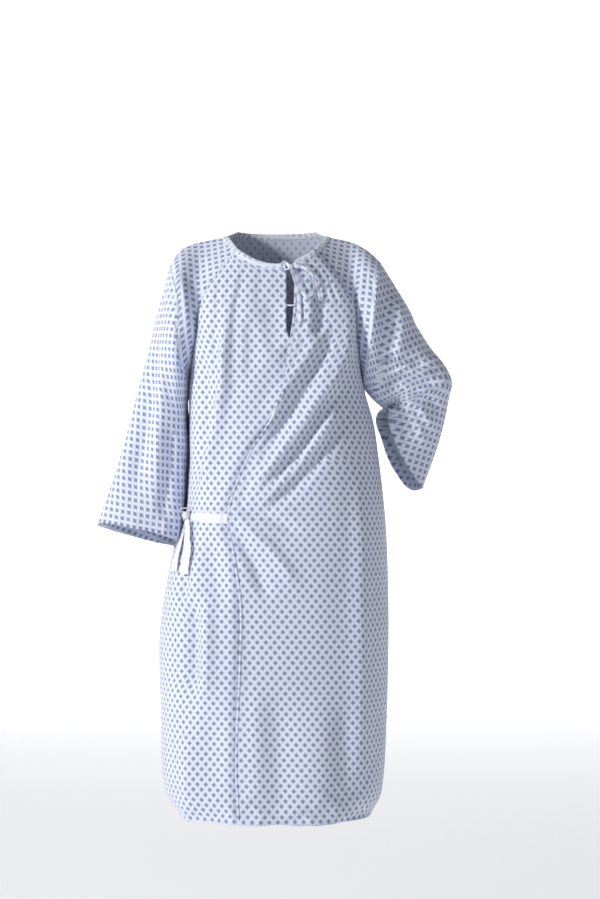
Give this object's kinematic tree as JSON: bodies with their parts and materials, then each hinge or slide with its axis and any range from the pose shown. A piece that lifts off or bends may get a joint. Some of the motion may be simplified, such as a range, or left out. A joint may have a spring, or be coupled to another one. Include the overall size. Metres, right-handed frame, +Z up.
{
  "type": "patient gown",
  "caption": "Printed wrap-front patient gown with raglan three-quarter sleeves, bound round neck with bow ties, overlapping front and a white tape tie at the waist.",
  "frame": {"origin": "middle of the neck opening, level with the shoulders, where the gown rests on the wearer", "axes": "+Z up along the body, -Y to the front, +X to the wearer's left"},
  "size_m": [0.6596, 0.3189, 1.1001],
  "materials": {
    "printed_cloth": "crisp woven cotton and polyester, small blue-grey four-petal motif on pale blue",
    "turned_hem": "reverse side of the printed cloth, turned and stitched",
    "printed_strip": "narrow folded strips of the printed cloth",
    "white_tape": "white herringbone twill tape"
  },
  "bodies": {
    "torso": {"back_panel": "printed_cloth", "left_front_panel": "printed_cloth", "right_front_panel": "printed_cloth", "right_sleeve_head": "printed_cloth", "left_sleeve_head": "printed_cloth", "right_sleeve_bend": "printed_cloth", "left_sleeve_bend": "printed_cloth", "neck_binding": "printed_strip", "underlap_facing": "turned_hem", "left_front_hem": "turned_hem", "right_front_hem": "turned_hem", "back_hem": "turned_hem", "neck_knot": "printed_strip", "neck_bow_loop": "printed_strip", "slit_tie": "printed_strip", "side_waist_tie": "white_tape", "waist_knot": "white_tape", "inner_side_tie": "white_tape", "inner_underlap_tie": "white_tape"},
    "front_flap": {"front_wrap_flap": "printed_cloth", "wrap_edge_facing": "turned_hem", "flap_hem": "turned_hem", "outer_waist_tie": "white_tape"},
    "right_arm": {"right_sleeve": "printed_cloth", "right_cuff_hem": "turned_hem"},
    "left_arm": {"left_sleeve": "printed_cloth", "left_cuff_hem": "turned_hem"},
    "long_tail": {"neck_tail_long": "printed_strip"},
    "short_tail": {"neck_tail_short": "printed_strip"},
    "front_tail": {"waist_tail_front": "white_tape"},
    "rear_tail": {"waist_tail_rear": "white_tape"}
  },
  "joints": [
    {"name": "front_flap_open", "type": "hinge", "parent": "torso", "child": "front_flap", "pos_m": [0.015, -0.14617, -0.33499], "axis": [-0.0414, 0.0196, 0.9989], "range_deg": [0, 90]},
    {"name": "right_sleeve_raise", "type": "hinge", "parent": "torso", "child": "right_arm", "pos_m": [-0.165, 0, -0.25], "axis": [0, 1, 0], "range_deg": [0, 25], "deforming": ["right_sleeve_bend"]},
    {"name": "left_sleeve_raise", "type": "hinge", "parent": "torso", "child": "left_arm", "pos_m": [0.168, 0, -0.25], "axis": [0, -1, 0], "range_deg": [0, 15], "deforming": ["left_sleeve_bend"]},
    {"name": "long_tail_swing", "type": "hinge", "parent": "torso", "child": "long_tail", "pos_m": [0.03302, -0.09779, -0.07795], "axis": [0, -1, 0], "range_deg": [-15, 0]},
    {"name": "short_tail_swing", "type": "hinge", "parent": "torso", "child": "short_tail", "pos_m": [0.04817, -0.09311, -0.0679], "axis": [0, -1, 0], "range_deg": [0, 15]},
    {"name": "front_tail_swing", "type": "hinge", "parent": "torso", "child": "front_tail", "pos_m": [-0.1573, -0.09268, -0.543], "axis": [-0.722, -0.6492, 0.2392], "range_deg": [-8, 8]},
    {"name": "rear_tail_swing", "type": "hinge", "parent": "torso", "child": "rear_tail", "pos_m": [-0.16443, -0.07205, -0.54481], "axis": [-0.8454, -0.4513, 0.2859], "range_deg": [-8, 8]}
  ]
}
